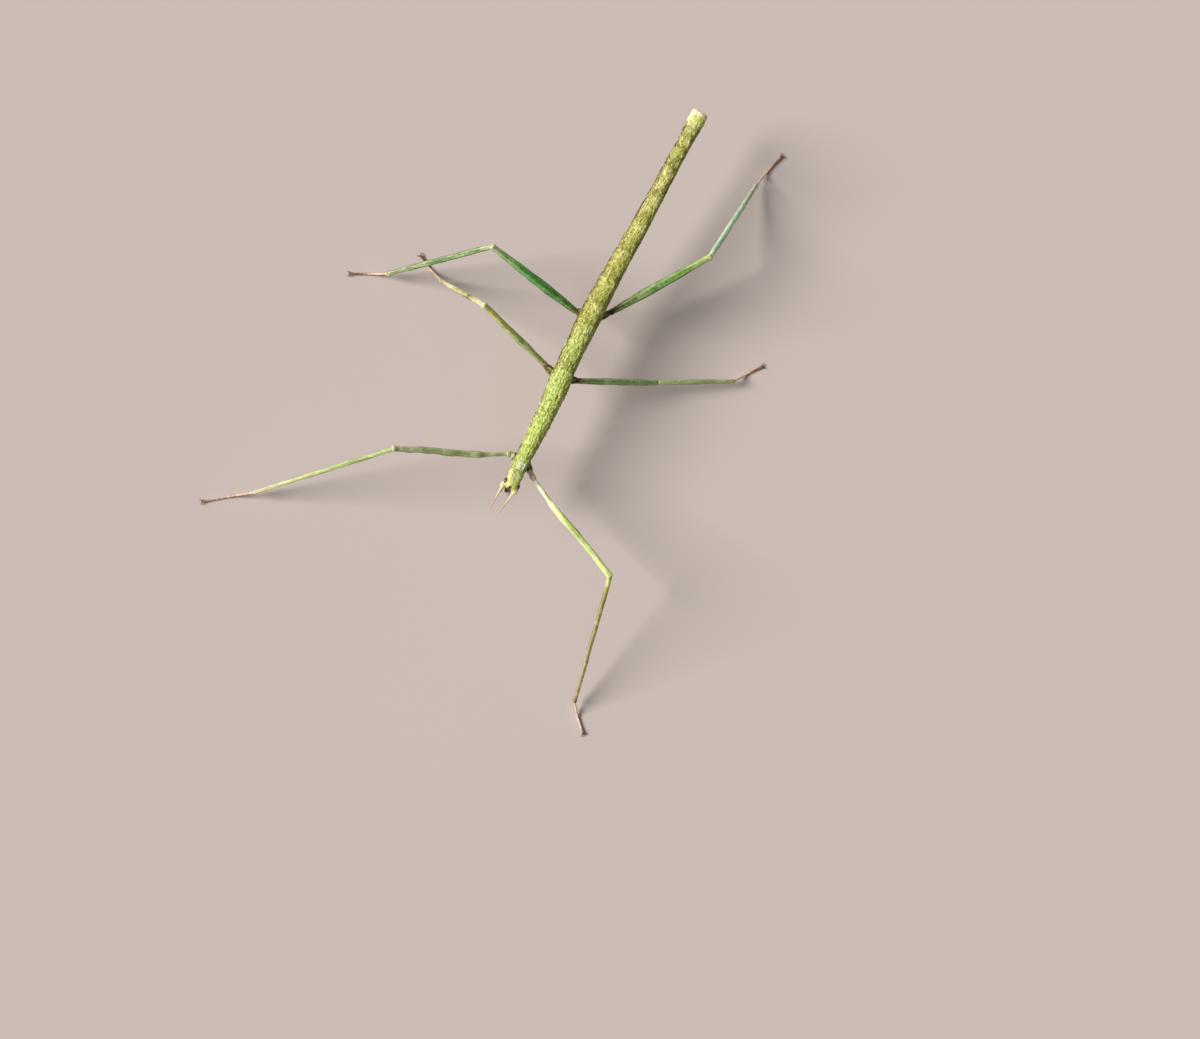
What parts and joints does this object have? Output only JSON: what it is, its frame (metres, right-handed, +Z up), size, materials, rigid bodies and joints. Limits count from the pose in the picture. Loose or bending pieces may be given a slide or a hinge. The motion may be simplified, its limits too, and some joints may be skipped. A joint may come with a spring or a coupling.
{
  "type": "stick insect model",
  "caption": "Life-size stick insect standing still with its legs spread and its short feelers pointing forward.",
  "frame": {"origin": "middle of the footprint of the whole insect, on the floor under its soles", "axes": "+Z up; +Y from the head towards the tail; +X to the left side of the insect"},
  "size_m": [0.0424, 0.0578, 0.0087],
  "materials": {
    "thorax_cuticle": "satin, finely granular",
    "abdomen_cuticle": "satin, finely granular",
    "head_cuticle": "satin",
    "tail_cuticle": "satin",
    "hip_cuticle": "satin",
    "green_leg": "satin",
    "green_shin": "satin",
    "pale_leg": "satin",
    "brown_shin": "satin",
    "olive_leg": "satin",
    "foot_cuticle": "satin",
    "feeler": "satin",
    "mouth_cuticle": "satin",
    "eye": "glossy, finely faceted"
  },
  "bodies": {
    "root": {"head": "head_cuticle", "eye_left": "eye", "eye_right": "eye", "antenna_left": "feeler", "antenna_right": "feeler", "mouthparts": "mouth_cuticle", "palp_left": "mouth_cuticle", "palp_right": "mouth_cuticle", "prothorax": "thorax_cuticle", "mesothorax": "thorax_cuticle", "metathorax": "thorax_cuticle", "abdomen_1": "abdomen_cuticle", "abdomen_2": "abdomen_cuticle", "abdomen_3": "abdomen_cuticle", "abdomen_4": "abdomen_cuticle", "abdomen_5": "abdomen_cuticle", "abdomen_6": "abdomen_cuticle", "abdomen_7": "abdomen_cuticle", "abdomen_8": "abdomen_cuticle", "abdomen_9": "abdomen_cuticle", "abdomen_10": "tail_cuticle", "cercus_left": "tail_cuticle", "cercus_right": "tail_cuticle", "fore_left_coxa": "hip_cuticle", "fore_left_femur": "pale_leg", "fore_left_tibia": "brown_shin", "fore_left_tarsus": "foot_cuticle", "fore_right_coxa": "hip_cuticle", "fore_right_femur": "green_leg", "fore_right_tibia": "green_shin", "fore_right_tarsus": "foot_cuticle", "mid_left_coxa": "hip_cuticle", "mid_left_femur": "green_leg", "mid_left_tibia": "green_leg", "mid_left_tarsus": "foot_cuticle", "mid_right_coxa": "hip_cuticle", "mid_right_femur": "olive_leg", "mid_right_tibia": "olive_leg", "mid_right_tarsus": "foot_cuticle", "hind_left_coxa": "hip_cuticle", "hind_left_femur": "green_leg", "hind_left_tibia": "green_shin", "hind_left_tarsus": "foot_cuticle", "hind_right_coxa": "hip_cuticle", "hind_right_femur": "green_leg", "hind_right_tibia": "green_shin", "hind_right_tarsus": "foot_cuticle"}
  },
  "joints": []
}
